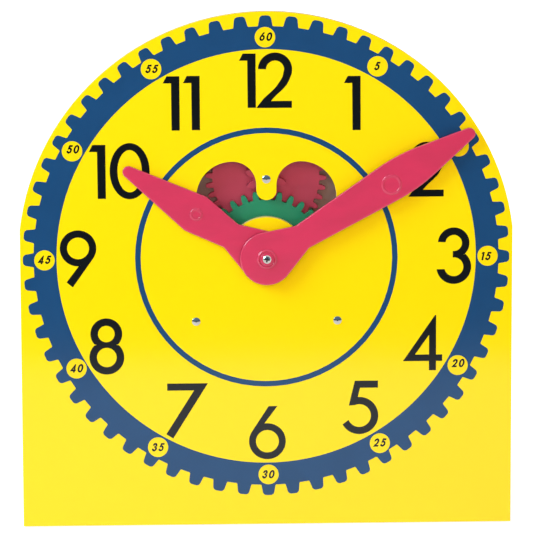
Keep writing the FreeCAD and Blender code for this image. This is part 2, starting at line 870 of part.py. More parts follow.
def spring_washer():
    """Dished washer that presses on the pinion and keeps the hands where they are set."""
    body = new_body("spring_washer")
    inner = "(pinion_seat_radius + thin_play)"
    crown = f"({IDLER_BACK} - end_play - spring_washer_seat)"
    rim = f"({crown} - spring_washer_dish)"
    turn(
        body,
        [
            (inner, crown),
            (inner, f"({crown} - spring_washer_sheet)"),
            ("spring_washer_radius", f"({rim} - spring_washer_sheet)"),
            ("spring_washer_radius", rim),
        ],
    )
    finish(body)


def arbor_clip():
    """Open clip in the arbor's groove, behind the cover."""
    front = f"({COVER_BACK} - rear_flange - thin_play - groove_play)"
    back = f"({front} - clip_thickness)"
    body = ring("arbor_clip", "(journal_radius - groove_depth)", "clip_radius", back, front)
    mouth = sketch_on(body, offset=front)
    half = "clip_mouth / 2"
    polygon(
        mouth,
        [
            (f"0 - {half}", "0 - clip_radius"),
            (half, "0 - clip_radius"),
            (half, "0"),
            (f"0 - {half}", "0"),
        ],
    )
    pocket(body, mouth, "clip_thickness")
    finish(body)


def hub_screw():
    """Round-headed screw with a cross recess that holds the minute hand on the arbor."""
    body = new_body("hub_screw")
    crown = f"({COLLAR_TOP} + screw_head_height)"
    tail = f"({COLLAR_TOP} - screw_length)"
    turn(
        body,
        [
            ("0", tail),
            ("screw_shank_radius", tail),
            ("screw_shank_radius", COLLAR_TOP),
            ("screw_head_radius", COLLAR_TOP),
            ("screw_head_radius", f"({COLLAR_TOP} + screw_head_edge)"),
            ("0", crown),
        ],
        domed=[4],
    )
    recess = sketch_on(body, offset=crown)
    long_half = "recess_length / 2"
    short_half = "recess_width / 2"
    cross = [
        (f"0 - {short_half}", long_half),
        (f"0 - {short_half}", short_half),
        (f"0 - {long_half}", short_half),
        (f"0 - {long_half}", f"0 - {short_half}"),
        (f"0 - {short_half}", f"0 - {short_half}"),
        (f"0 - {short_half}", f"0 - {long_half}"),
        (short_half, f"0 - {long_half}"),
        (short_half, f"0 - {short_half}"),
        (long_half, f"0 - {short_half}"),
        (long_half, short_half),
        (short_half, short_half),
        (short_half, long_half),
    ]
    polygon(recess, cross)
    pocket(body, recess, "recess_depth")
    finish(body, spin(value("screw_turn")))


# ---------------------------------------------------------------- hands


def hand_blade(body, name, back):
    """The flat of a hand along x: hub disc, neck, shoulder and rounded tip, edges softened."""
    front = f"({back} + hand_thickness)"
    neck = (f"{name}_neck", f"{name}_neck_half")
    shoulder = (f"{name}_shoulder", f"{name}_shoulder_half")
    tip_centre = f"({name}_length - {name}_tip_radius)"
    sketch = sketch_on(body, offset=front)
    hand_outline(sketch, neck, shoulder, tip_centre, f"{name}_tip_radius")
    pad(body, sketch, "hand_thickness")
    soften(body, upright_near(*neck), "neck_round")
    soften(body, upright_near(*shoulder), f"{name}_shoulder_round")
    soften(body, flat_at(front), "hand_edge_round")
    return front


def hand_outline(sketch, neck, shoulder, tip_centre, tip_radius):
    """Lines from the hub disc's tangents through neck and shoulder to the tip's tangents."""
    hub = value("hub_disc_radius")
    tip = value(tip_radius)
    neck_spot = point(*neck)
    shoulder_spot = point(*shoulder)
    centre = point(tip_centre, "0")
    away = shoulder_spot - centre
    hub_angle = math.degrees(
        math.atan2(neck_spot.y, neck_spot.x) + math.acos(hub / neck_spot.Length)
    )
    tip_angle = math.degrees(math.atan2(away.y, away.x) - math.acos(tip / away.Length))
    hub_arc = arc(sketch, FreeCAD.Vector(), hub, hub_angle, 360 - hub_angle)
    tip_arc = arc(sketch, centre, tip, -tip_angle, tip_angle)
    relate(sketch, "Coincident", hub_arc, 3, -1, 1)
    place_point(sketch, tip_arc, 3, tip_centre, "0")
    bind(sketch, "Radius", hub_arc, "hub_disc_radius")
    bind(sketch, "Radius", tip_arc, tip_radius)
    for side, hub_end, tip_end in ((1, 1, 2), (-1, 2, 1)):
        neck_side = FreeCAD.Vector(neck_spot.x, side * neck_spot.y, 0)
        shoulder_side = FreeCAD.Vector(shoulder_spot.x, side * shoulder_spot.y, 0)
        flare = line(sketch, around(FreeCAD.Vector(), hub, side * hub_angle), neck_side)
        blade = line(sketch, neck_side, shoulder_side)
        taper = line(sketch, shoulder_side, around(centre, tip, side * tip_angle))
        relate(sketch, "Tangent", hub_arc, hub_end, flare, 1)
        relate(sketch, "Coincident", flare, 2, blade, 1)
        relate(sketch, "Coincident", blade, 2, taper, 1)
        relate(sketch, "Tangent", taper, 2, tip_arc, tip_end)
        place_point(sketch, blade, 1, neck[0], f"{side} * {neck[1]}")
        place_point(sketch, blade, 2, shoulder[0], f"{side} * {shoulder[1]}")


def raised_disc(body, front, x, y, radius):
    """A low bare medallion with a rounded rim, on the front of a hand."""
    top = f"({front} + disc_height)"
    sketch = sketch_on(body, offset=top)
    circle(sketch, x, y, radius)
    pad(body, sketch, "disc_height + hand_thickness / 2")
    soften(body, flat_at(top), "disc_edge_round")
    hollow = sketch_on(body, offset=top)
    circle(hollow, x, y, f"({radius} - disc_rim)")
    pocket(body, hollow, "disc_recess")


def hand_bore(body, radius, top, depth):
    sketch = sketch_on(body, offset=top)
    circle(sketch, "0", "0", radius)
    pocket(body, sketch, depth)


def hour_hand():
    """Short hand, pressed on the hour tube."""
    body = new_body("hour_hand")
    front = hand_blade(body, "hour", HOUR_HAND_BACK)
    raised_disc(body, front, "hour_disc_place", "0", "hour_disc_radius")
    hand_bore(body, TUBE_RADIUS, front, "hand_thickness")
    finish(body, spin(value("hour_turn") - 90))


def minute_hand():
    """Long hand with a stepped hub boss, keyed on the arbor's spigot."""
    body = new_body("minute_hand")
    front = hand_blade(body, "minute", MINUTE_HAND_BACK)
    raised_disc(body, front, "minute_disc_place", "0 - minute_disc_aside", "minute_disc_radius")
    boss_top = f"({front} + minute_boss_height)"
    boss = sketch_on(body, offset=boss_top)
    circle(boss, "0", "0", "minute_boss_radius")
    pad(body, boss, "minute_boss_height + hand_thickness / 2")
    soften(body, flat_at(boss_top), "hand_edge_round")
    groove = sketch_on(body, offset=boss_top)
    circle(groove, "0", "0", "boss_groove_radius")
    pocket(body, groove, "boss_groove_depth")
    collar = sketch_on(body, offset=COLLAR_TOP)
    circle(collar, "0", "0", "collar_radius")
    pad(body, collar, "collar_height + boss_groove_depth + hand_thickness / 2")
    hand_bore(body, "spigot_radius", COLLAR_TOP, f"({COLLAR_TOP} - {MINUTE_HAND_BACK})")
    finish(body, spin(value("minute_turn") - 90))


# ---------------------------------------------------------------- cover, axle and rivets


def back_cover():
    """Pressed-steel pan over the gears, with a rim flange and two riveted ears."""
    body = new_body("back_cover")
    ends = (("0", "0"), ("0", "gear_centres"))
    flange = sketch_on(body, offset=BOARD_BACK)
    slot(flange, *ends, f"({COVER_OUTER} + flange_width)")
    pad(body, flange, "sheet_thickness")
    for side in (1, -1):
        ear = sketch_on(body, offset=BOARD_BACK)
        slot(ear, ends[0], (f"{side} * {RIVET_ACROSS}", f"0 - {RIVET_DROP}"), "ear_radius")
        pad(body, ear, "sheet_thickness")
    pan = sketch_on(body, offset=BOARD_BACK)
    slot(pan, *ends, COVER_OUTER)
    pad(body, pan, f"({BOARD_BACK} - {COVER_BACK})")
    soften(body, flat_at(COVER_BACK), "cover_round")
    hollow = sketch_on(body, offset=BOARD_BACK)
    slot(hollow, *ends, COVER_INNER)
    pocket(body, hollow, f"({BOARD_BACK} - {COVER_INSIDE})")
    soften(body, flat_at(COVER_INSIDE), "cover_round - sheet_thickness")
    holes = sketch_on(body, offset=BOARD_BACK)
    circle(holes, "0", "0", "rear_bushing_radius")
    circle(holes, "0", "gear_centres", SLEEVE_BORE)
    circle(holes, RIVET_ACROSS, f"0 - {RIVET_DROP}", SLEEVE_BORE)
    circle(holes, f"0 - {RIVET_ACROSS}", f"0 - {RIVET_DROP}", SLEEVE_BORE)
    pocket(body, holes, f"({BOARD_BACK} - {COVER_BACK})")
    finish(body)


def rivet(label, back):
    """Domed head on the face, shank through the stack and a closed head behind."""
    body = new_body(label)
    tail = f"({back} - rivet_head_height)"
    turn(
        body,
        [
            ("0", tail),
            ("rivet_head_radius", f"({back} - rivet_head_edge)"),
            ("rivet_head_radius", back),
            ("rivet_radius", back),
            ("rivet_radius", "0"),
            ("rivet_head_radius", "0"),
            ("rivet_head_radius", "rivet_head_edge"),
            ("0", "rivet_head_height"),
        ],
        domed=[0, 6],
    )
    return body


def side_spots():
    """Where the two side rivets stand."""
    return [shift(f"{side} * {RIVET_ACROSS}", f"0 - {RIVET_DROP}") for side in (1, -1)]


def idler_rivet():
    """Axle of the idler: its head shows on the tab between the window's lobes."""
    body = rivet("idler_rivet", f"({COVER_BACK} - rivet_washer_thickness)")
    finish(body, shift(y="gear_centres"))


def idler_sleeve():
    """Distance sleeve on the axle: the idler turns on it and the rivet can't pinch it."""
    sleeve = ring("idler_sleeve", SLEEVE_BORE, SLEEVE_RADIUS, COVER_INSIDE, PANE_BACK)
    finish(sleeve, shift(y="gear_centres"))


def cover_rivets():
    """Two rivets through board, cover ear and stand bracket."""
    single = rivet("cover_rivet", f"({BRACKET_BACK} - rivet_washer_thickness)")
    finish(copies("cover_rivets", single.Shape, side_spots()))


def rivet_washers():
    """A washer under the closed head of each rivet."""
    back = "(0 - rivet_washer_thickness)"
    single = ring("rivet_washer", SLEEVE_BORE, "rivet_washer_radius", back, "0")
    spots = [shift(y="gear_centres", z=COVER_BACK)]
    spots += [spot.multiply(shift(z=BRACKET_BACK)) for spot in side_spots()]
    finish(copies("rivet_washers", single.Shape, spots))


# ---------------------------------------------------------------- stand


def bracket_plate():
    """Right-hand bracket: riveted plate, stop lug for the heel and a knuckle for the wire."""
    body = new_body("stand_bracket")
    rivet_spot = (RIVET_ACROSS, f"0 - {RIVET_DROP}")
    end_spot = (f"({KNUCKLE_START} + knuckle_length / 2)", f"(0 - bracket_below_pivot - {PIVOT_DROP})")
    heel_spot = (HEEL_OFFSET, f"(heel_length - thin_play - lug_radius - {PIVOT_DROP})")
    plate = sketch_on(body, offset=EAR_BACK)
    slot(plate, rivet_spot, end_spot, "bracket_radius")
    pad(body, plate, "bracket_thickness")
    lug = sketch_on(body, offset=EAR_BACK)
    slot(lug, end_spot, heel_spot, "lug_radius")
    pad(body, lug, "bracket_thickness")
    knuckle_base = sketch_on(body, offset=EAR_BACK)
    front_y = f"({KNUCKLE_RADIUS} - {PIVOT_DROP})"
    back_y = f"(0 - {KNUCKLE_RADIUS} - {PIVOT_DROP})"
    polygon(
        knuckle_base,
        [
            (KNUCKLE_START, back_y),
            (KNUCKLE_END, back_y),
            (KNUCKLE_END, front_y),
            (KNUCKLE_START, front_y),
        ],
    )
    pad(body, knuckle_base, f"({EAR_BACK} - {PIVOT_DEPTH})")
    roll = sketch_on(body, "YZ_Plane", KNUCKLE_END)
    circle(roll, f"(0 - {PIVOT_DROP})", PIVOT_DEPTH, KNUCKLE_RADIUS)
    pad(body, roll, "knuckle_length")
    bore = sketch_on(body, "YZ_Plane", KNUCKLE_END)
    circle(bore, f"(0 - {PIVOT_DROP})", PIVOT_DEPTH, KNUCKLE_BORE)
    pocket(body, bore, "knuckle_length")
    hole = sketch_on(body, offset=EAR_BACK)
    circle(hole, *rivet_spot, SLEEVE_BORE)
    pocket(body, hole, "bracket_thickness")
    return body


def stand_brackets():
    """The bracket and its mirror image on the other side."""
    right = bracket_plate().Shape
    left = right.mirror(FreeCAD.Vector(), FreeCAD.Vector(1, 0, 0))
    pair = doc.addObject("Part::Feature", "stand_brackets")
    pair.Shape = Part.makeCompound([right.copy(), left])
    finish(pair)


def rounded_path(spots, radii):
    """A wire through points, each inner corner replaced by a tangent arc."""
    edges = []
    start = spots[0]
    for before, corner, after, radius in zip(spots, spots[1:], spots[2:], radii):
        inward = (before - corner).normalize()
        outward = (after - corner).normalize()
        half = math.acos(inward.dot(outward)) / 2
        entry = corner + inward * (radius / math.tan(half))
        leave = corner + outward * (radius / math.tan(half))
        bisector = (inward + outward).normalize()
        middle = corner + bisector * (radius / math.sin(half) - radius)
        edges.append(Part.LineSegment(start, entry).toShape())
        edges.append(Part.Arc(entry, middle, leave).toShape())
        start = leave
    edges.append(Part.LineSegment(start, spots[-1]).toShape())
    return Part.Wire(edges)


def bail_place():
    """The bail's frame: its x axis in the knuckles, y up the folded legs."""
    swing = FreeCAD.Rotation(FreeCAD.Vector(1, 0, 0), value(LEG_SWING))
    pivot = FreeCAD.Vector(0, -value(PIVOT_DROP), value(PIVOT_DEPTH))
    return FreeCAD.Placement(pivot, swing)


def stand_bail():
    """One bent wire: heel, knuckle run and leg on each side, and the foot between them."""
    leg = value("leg_offset")
    heel = value(HEEL_OFFSET)
    foot = -value(LEG_LENGTH)
    swing = math.radians(value(LEG_SWING))
    heel_rise = value("heel_length") * math.cos(swing)
    heel_back = -value("heel_length") * math.sin(swing)
    right = [
        FreeCAD.Vector(heel, heel_rise, heel_back),
        FreeCAD.Vector(heel, 0, 0),
        FreeCAD.Vector(leg, 0, 0),
        FreeCAD.Vector(leg, foot, 0),
    ]
    left = [FreeCAD.Vector(-spot.x, spot.y, spot.z) for spot in reversed(right)]
    bend = value("wire_bend")
    foot_bend = value("foot_bend")
    spine = doc.addObject("Part::Feature", "bail_spine")
    spine.Shape = rounded_path(right + left, [bend, bend, foot_bend, foot_bend, bend, bend])
    start = spine.Shape.OrderedVertexes[0].Point
    section = doc.addObject("Part::Circle", "bail_section")
    section.setExpression("Radius", bound("wire_radius"))
    along = FreeCAD.Rotation(FreeCAD.Vector(0, 0, 1), FreeCAD.Vector(0, -heel_rise, -heel_back))
    section.Placement = FreeCAD.Placement(start, along)
    doc.recompute()
    bail = doc.addObject("Part::Sweep", "stand_bail")
    bail.Sections = [section]
    bail.Spine = (spine, [f"Edge{number + 1}" for number in range(len(spine.Shape.Edges))])
    bail.Solid = True
    bail.Frenet = False
    doc.recompute()
    finish(bail, bail_place())


def stand_sleeves():
    """Two rubber sleeves on the wire's foot, on which the clock stands."""
    half = "foot_sleeve_length / 2"
    single = ring("stand_sleeve", "wire_radius", "foot_sleeve_radius", f"0 - {half}", half)
    across = FreeCAD.Rotation(FreeCAD.Vector(0, 1, 0), 90)
    foot = -value(LEG_LENGTH)
    spots = []
    for side in (1, -1):
        spot = FreeCAD.Vector(side * value("foot_sleeve_offset"), foot, 0)
        spots.append(FreeCAD.Placement(spot, across))
    finish(copies("stand_sleeves", single.Shape, spots), bail_place())


# ---------------------------------------------------------------- build and write


def check_all():
    """Stop if any object failed or any node's shape is empty or broken."""
    for item in doc.Objects:
        if "Invalid" in item.State or "Error" in item.State:
            raise RuntimeError(f"{item.Name} failed: {item.State}")
    for part in parts:
        if part.Shape.isNull() or not part.Shape.isValid() or not part.Shape.Solids:
            raise RuntimeError(f"{part.Label} has no valid solid")


def write_steps():
    os.makedirs("parts", exist_ok=True)
    for part in parts:
        part.Shape.exportStep(f"parts/{part.Label}.step")
        print(f"{part.Label}: {len(part.Shape.Solids)} solid, {part.Shape.Volume / 1000:.2f} cm3")


def main():
    fill_sheet()
    face_board()
    window_pane()
    hour_wheel()
    idler_gear()
    minute_pinion()
    hub_bushing()
    bushing_lock_ring()
    hour_tube()
    hand_washer()
    minute_arbor()
    rear_bushing()
    spring_washer()
    arbor_clip()
    hub_screw()
    hour_hand()
    minute_hand()
    back_cover()
    idler_rivet()
    idler_sleeve()
    cover_rivets()
    rivet_washers()
    stand_brackets()
    stand_bail()
    stand_sleeves()
    doc.recompute()
    check_all()
    write_steps()


main()
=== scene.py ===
import json
import math
import bpy
import bmesh
from mathutils import Matrix, Vector


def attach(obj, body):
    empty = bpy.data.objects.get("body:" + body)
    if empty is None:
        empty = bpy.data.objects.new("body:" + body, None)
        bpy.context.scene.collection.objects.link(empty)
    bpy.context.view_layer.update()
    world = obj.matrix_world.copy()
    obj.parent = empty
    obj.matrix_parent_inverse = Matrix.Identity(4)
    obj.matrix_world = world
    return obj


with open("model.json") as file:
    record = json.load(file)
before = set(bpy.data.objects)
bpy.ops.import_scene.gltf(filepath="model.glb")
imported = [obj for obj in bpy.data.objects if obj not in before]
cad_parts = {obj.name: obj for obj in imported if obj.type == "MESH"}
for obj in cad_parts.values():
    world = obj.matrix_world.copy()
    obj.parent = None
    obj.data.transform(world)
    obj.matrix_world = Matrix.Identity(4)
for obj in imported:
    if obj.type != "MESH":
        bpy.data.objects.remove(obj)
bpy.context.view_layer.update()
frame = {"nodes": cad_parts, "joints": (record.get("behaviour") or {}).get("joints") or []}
nodes = frame["nodes"]
mm = 0.001

# The dial's own frame, from the hub's joint: x right, y up the board, z out of the face.
hubJoint = next(joint for joint in frame["joints"] if joint["name"] == "minute_turn")
hub = Vector(hubJoint["pos_m"])
outward = -Vector(hubJoint["axis"]).normalized()
right = Vector((1, 0, 0))
up = outward.cross(right)
dialTurn = Matrix((right, up, outward)).transposed()
dialPlace = Matrix.Translation(hub) @ dialTurn.to_4x4()


def linear(red, green, blue):
    # a colour as it is picked on a screen, for a shader
    shares = [part / 255 for part in (red, green, blue)]
    return [part / 12.92 if part <= 0.04045 else ((part + 0.055) / 1.055) ** 2.4 for part in shares]


class Signal:
    # a number that varies over a surface; sums and products of signals add Math nodes
    def __init__(self, paint, socket):
        self.paint = paint
        self.socket = socket

    def math(self, operation, *others):
        return self.paint.add("ShaderNodeMath", {"operation": operation}, [self, *others])

    def __add__(self, other):
        return self.math("ADD", other)

    __radd__ = __add__

    def __mul__(self, other):
        return self.math("MULTIPLY", other)

    __rmul__ = __mul__

    def __sub__(self, other):
        return self.math("SUBTRACT", other)

    def __rsub__(self, other):
        return self.paint.add("ShaderNodeMath", {"operation": "SUBTRACT"}, [other, self])

    def over(self, edge):
        return self.math("GREATER_THAN", edge)

    def between(self, low, high):
        # 0 at low, 1 at high, smooth in between
        settings = {"interpolation_type": "SMOOTHSTEP"}
        sockets = {"Value": self, "From Min": low, "From Max": high}
        return self.paint.add("ShaderNodeMapRange", settings, sockets)


class Paint:
    # a material, and the one method that adds its nodes
    def __init__(self, name, kind="materials"):
        self.material = getattr(bpy.data, kind).new(name)
        self.material.use_nodes = True
        self.tree = self.material.node_tree
        self.tree.nodes.clear()
        self.place = self.add("ShaderNodeTexCoord", output="Object")

    def add(self, kind, settings=None, sockets=None, output=0):
        # sockets come as a list in the node's own order, or by name
        node = self.tree.nodes.new(kind)
        for name, setting in (settings or {}).items():
            setattr(node, name, setting)
        entries = enumerate(sockets) if isinstance(sockets, list) else (sockets or {}).items()
        for name, given in entries:
            if isinstance(given, Signal):
                self.tree.links.new(given.socket, node.inputs[name])
            else:
                node.inputs[name].default_value = given
        return None if output is None else Signal(self, node.outputs[output])

    def noise(self, scale, detail=3, rough=0.5, stretch=None):
        # stretch is the share of each axis, for grain that runs one way
        place = self.place if stretch is None else self.stretched(stretch)
        sockets = {"Vector": place, "Scale": scale, "Detail": detail, "Roughness": rough}
        return self.add("ShaderNodeTexNoise", None, sockets, "Fac")

    def stretched(self, shares):
        sockets = {"Vector": self.place, "Scale": shares}
        return self.add("ShaderNodeMapping", {"vector_type": "POINT"}, sockets, "Vector")

    def along(self, direction, start):
        # distance in metres from a point, measured along a direction
        sockets = [self.place, list(direction)]
        reach = self.add("ShaderNodeVectorMath", {"operation": "DOT_PRODUCT"}, sockets, "Value")
        return reach - direction.dot(start)

    def mix(self, share, first, second):
        # the numbers are the Mix node's own places for its factor, its two colours and its result
        sockets = {0: share, 6: first, 7: second}
        return self.add("ShaderNodeMix", {"data_type": "RGBA"}, sockets, 2)

    def bump(self, height, depth, **rest):
        # height runs from 0 to 1 over depth, in millimetres
        return self.add("ShaderNodeBump", None, {"Height": height, "Distance": depth * mm, **rest})

    def shader(self, colour, rough, **rest):
        sockets = {"Base Color": colour, "Roughness": rough}
        sockets.update({name.replace("_", " "): given for name, given in rest.items()})
        return self.add("ShaderNodeBsdfPrincipled", None, sockets)

    def finish(self, shader, kind="ShaderNodeOutputMaterial"):
        self.add(kind, None, {"Surface": shader}, None)
        return self.material


def shade(colour, factor):
    return [min(1, part * factor) for part in colour] + [1]


def solid(colour):
    return [*colour, 1]


def boardFinish(look):
    # laminated print on the front, sealed cream edges, bare hardboard on the back
    paint = Paint("printedHardboard")
    depth = paint.along(outward, hub)
    front = depth.over(-look["printDepth"] * mm)
    dull = shade(look["yellow"], look["dull"])
    yellow = paint.mix(paint.noise(*look["clouds"]), solid(look["yellow"]), dull)
    fibre = paint.noise(*look["fibre"])
    strands = fibre.between(*look["fibreEdges"])
    blotch = paint.noise(*look["blotches"]) * look["blotchShare"]
    brown = paint.mix(strands, solid(look["fibreDark"]), solid(look["fibreLight"]))
    brown = paint.mix(blotch, brown, solid(look["fibreDark"]))
    # the back carries the press screen's weave
    across = paint.along(right, hub) * (math.tau / (look["screenPitch"] * mm))
    along = paint.along(up, hub) * (math.tau / (look["screenPitch"] * mm))
    weave = (across.math("SINE") * along.math("SINE")) * 0.5 + 0.5
    back = 1 - depth.over(-look["backDepth"] * mm)
    edge = paint.mix(strands, solid(look["edgeDark"]), solid(look["edgeLight"]))
    rawHeight = weave * back * look["weaveShare"] + fibre * (1 - look["weaveShare"])
    waves = paint.noise(*look["waves"]) * front * look["waveShare"]
    relief = rawHeight * (1 - front) + waves
    colour = paint.mix(front, paint.mix(back, edge, brown), yellow)
    rough = front * (look["gloss"] - look["rawRough"]) + look["rawRough"]
    return paint.finish(paint.shader(colour, rough, Normal=paint.bump(relief, look["relief"])))


def inkFinish(name, colour, look):
    paint = Paint(name)
    mottle = paint.noise(*look["mottle"]).between(*look["mottleEdges"])
    tone = paint.mix(mottle, solid(colour), shade(colour, look["thin"]))
    return paint.finish(paint.shader(tone, look["rough"]))


def mouldedFinish(name, look):
    # injection-moulded plastic: faint flow marks and a fine sparked texture
    paint = Paint(name)
    flow = paint.noise(*look["flow"], stretch=look["stretch"])
    dark = shade(look["colour"], look["dark"])
    tone = paint.mix(flow.between(*look["flowEdges"]), solid(look["colour"]), dark)
    grain = paint.noise(*look["sparks"])
    rough = flow * look["flowRough"] + look["rough"]
    # the mould's worn corners, softer than the modelled ones
    sockets = {"Radius": look["corner"] * mm}
    corners = paint.add("ShaderNodeBevel", {"samples": look["cornerSamples"]}, sockets)
    bump = paint.bump(grain * 0.5 + flow * 0.5, look["grain"], Normal=corners)
    return paint.finish(paint.shader(tone, rough, Normal=bump, Specular_IOR_Level=look["polish"]))


def clearFinish(look):
    # thin clear sheet: looks through, with a surface reflection that grows at a slant
    paint = Paint("clearSheet")
    # only faces met from outside reflect, or a ray at a slant would never leave the sheet
    inside = paint.add("ShaderNodeNewGeometry", output="Backfacing")
    sheen = paint.add("ShaderNodeFresnel", None, {"IOR": look["index"]}) * (1 - inside)
    haze = paint.noise(*look["haze"]) * look["hazeRough"] + look["rough"]
    through = paint.add("ShaderNodeBsdfTransparent", None, {"Color": solid(look["tint"])})
    mirror = paint.add("ShaderNodeBsdfGlossy", None, {"Color": solid((1, 1, 1)), "Roughness": haze})
    sheet = paint.add("ShaderNodeMixShader", None, [sheen, through, mirror])
    specks = paint.noise(*look["specks"]).between(*look["speckEdges"]) * look["dust"]
    dust = paint.add("ShaderNodeBsdfDiffuse", None, {"Color": solid(look["dustColour"])})
    return paint.finish(paint.add("ShaderNodeMixShader", None, [specks, sheet, dust]))


def metalFinish(name, look):
    # turned, drawn or plated metal with fine streaks and a few dull spots, and painted shade
    # darkening a recess
    paint = Paint(name)
    colour = look["colour"]
    streak = paint.noise(look["streaks"], *look["streakDetail"], stretch=look["stretch"])
    spots = paint.noise(*look["spots"]).between(*look["spotEdges"])
    streaked = shade(colour, look["streakDark"])
    tone = paint.mix(streak.between(*look["streakEdges"]), solid(colour), streaked)
    tone = paint.mix(spots * look["wear"], tone, shade(colour, look["spotDark"]))
    rough = streak * look["streakRough"] + spots * look["spotRough"] + look["rough"]
    if "recess" in look:
        low, high, radius = (edge * mm for edge in look["recess"])
        height = paint.along(outward, hub)
        across = paint.along(right, hub)
        above = paint.along(up, hub)
        reach = (across * across + above * above).math("SQRT")
        shadedRecess = (1 - height.over(high)) * height.over(low) * (1 - reach.over(radius))
        # painted shade: the recess is coloured dark and made rougher where shade falls in it
        tone = paint.mix(shadedRecess, tone, solid(look["grime"]))
        rough = shadedRecess * look["grimeRough"] + rough
    bump = paint.bump(streak, look["relief"])
    return paint.finish(paint.shader(tone, rough, Normal=bump, Metallic=1.0))


def enamelFinish(look):
    # baked enamel over pressed steel, with orange peel and a little dust
    paint = Paint("bakedEnamel")
    peel = paint.noise(*look["peel"])
    dust = paint.noise(*look["dust"])
    dusty = shade(look["colour"], look["dustPale"])
    tone = paint.mix(dust.between(*look["dustEdges"]), solid(look["colour"]), dusty)
    rough = dust * look["dustRough"] + look["rough"]
    return paint.finish(paint.shader(tone, rough, Normal=paint.bump(peel, look["relief"])))


def rubberFinish(look):
    paint = Paint("sleeveRubber")
    bloom = paint.noise(*look["bloom"])
    share = bloom.between(*look["bloomEdges"])
    tone = paint.mix(share, solid(look["colour"]), solid(look["bloomColour"]))
    rough = bloom * look["bloomRough"] + look["rough"]
    return paint.finish(paint.shader(tone, rough, Normal=paint.bump(bloom, look["relief"])))


# A noise is written as its scale, detail and roughness. Edges are the two values of a noise between
# which it goes from nothing to full. Depths and corners are in millimetres.
boardLook = {
    "yellow": linear(255, 231, 8),
    "clouds": (9, 2),
    "dull": 0.965,
    "edgeLight": linear(252, 224, 148),
    "edgeDark": linear(240, 206, 126),
    "fibreLight": linear(168, 122, 80),
    "fibreDark": linear(112, 74, 48),
    "fibre": (420, 5, 0.65),
    "fibreEdges": (0.3, 0.7),
    "blotches": (30, 3),
    "blotchShare": 0.35,
    "screenPitch": 1.3,
    "weaveShare": 0.6,
    "waves": (55, 2),
    "waveShare": 0.03,
    "printDepth": 0.12,
    "backDepth": 4.7,
    "gloss": 0.05,
    "rawRough": 0.78,
    "relief": 0.12,
}
inkLook = {
    "blue": linear(27, 75, 122), "black": linear(14, 20, 24), "rough": 0.07,
    "mottle": (35, 4, 0.6), "mottleEdges": (0.35, 0.65), "thin": 0.94,
}
mouldedLook = {
    "flow": (28, 3, 0.55), "stretch": (1, 1, 2.5), "flowEdges": (0.3, 0.7), "flowRough": 0.06,
    "sparks": (1500, 2), "cornerSamples": 6,
}
handLook = {
    **mouldedLook, "colour": linear(215, 54, 95), "dark": 0.9, "rough": 0.09,
    "grain": 0.02, "corner": 0.7, "polish": 1.0,
}
greenLook = {
    **mouldedLook, "colour": linear(0, 150, 107), "dark": 0.82, "rough": 0.45,
    "grain": 0.03, "corner": 0.3, "polish": 0.5,
}
redLook = {
    **mouldedLook, "colour": linear(190, 57, 88), "dark": 0.86, "rough": 0.45,
    "grain": 0.03, "corner": 0.3, "polish": 0.5,
}
paneLook = {
    "index": 1.49, "rough": 0.02, "tint": (0.985, 0.99, 0.985), "haze": (60, 3), "hazeRough": 0.03,
    "specks": (1100, 2), "speckEdges": (0.7, 0.78), "dust": 0.2, "dustColour": (0.8, 0.8, 0.76),
}
metalLook = {
    "streakDetail": (4, 0.6), "streakEdges": (0.3, 0.7), "streakDark": 0.86, "streakRough": 0.08,
    "spots": (240, 3, 0.6), "spotEdges": (0.58, 0.75), "spotDark": 0.6, "spotRough": 0.15,
}
nickelLook = {
    **metalLook, "colour": linear(214, 212, 204), "streaks": 90, "stretch": (1, 1, 1),
    "wear": 0.2, "rough": 0.12, "relief": 0.004,
}
screwLook = {
    **nickelLook,
    # heights over the dial between which the recess lies, and its reach from the hub's axis; the
    # recess is painted dark grey as shade
    "recess": (9.3, 9.75, 1.95), "grime": linear(84, 84, 78), "grimeRough": 0.4,
}
steelLook = {
    **metalLook, "colour": linear(150, 150, 152), "streaks": 260, "stretch": (1, 0.2, 1),
    "wear": 0.35, "rough": 0.3, "relief": 0.008,
}
brassLook = {
    **metalLook, "colour": linear(196, 158, 92), "streaks": 220, "stretch": (1, 0.2, 1),
    "wear": 0.4, "rough": 0.26, "relief": 0.008,
}
wireLook = {
    **metalLook, "colour": linear(176, 178, 180), "streaks": 300, "stretch": (1, 1, 0.08),
    "wear": 0.3, "rough": 0.28, "relief": 0.01,
}
enamelLook = {
    "colour": linear(154, 130, 122), "rough": 0.42, "peel": (650, 2), "relief": 0.03,
    "dust": (45, 4, 0.6), "dustEdges": (0.35, 0.7), "dustPale": 1.18, "dustRough": 0.15,
}
rubberLook = {
    "colour": linear(34, 34, 35), "bloomColour": linear(62, 61, 60), "rough": 0.7, "relief": 0.05,
    "bloom": (180, 4, 0.65), "bloomEdges": (0.4, 0.75), "bloomRough": 0.2,
}

boardPaint = boardFinish(boardLook)
blueInk = inkFinish("blueInk", inkLook["blue"], inkLook)
blackInk = inkFinish("blackInk", inkLook["black"], inkLook)
yellowInk = inkFinish("yellowInk", boardLook["yellow"], inkLook)
handPlastic = mouldedFinish("handPlastic", handLook)
greenPlastic = mouldedFinish("greenPlastic", greenLook)
redPlastic = mouldedFinish("redPlastic", redLook)
nickel = metalFinish("nickel", nickelLook)
steel = metalFinish("steel", steelLook)
brass = metalFinish("brass", brassLook)

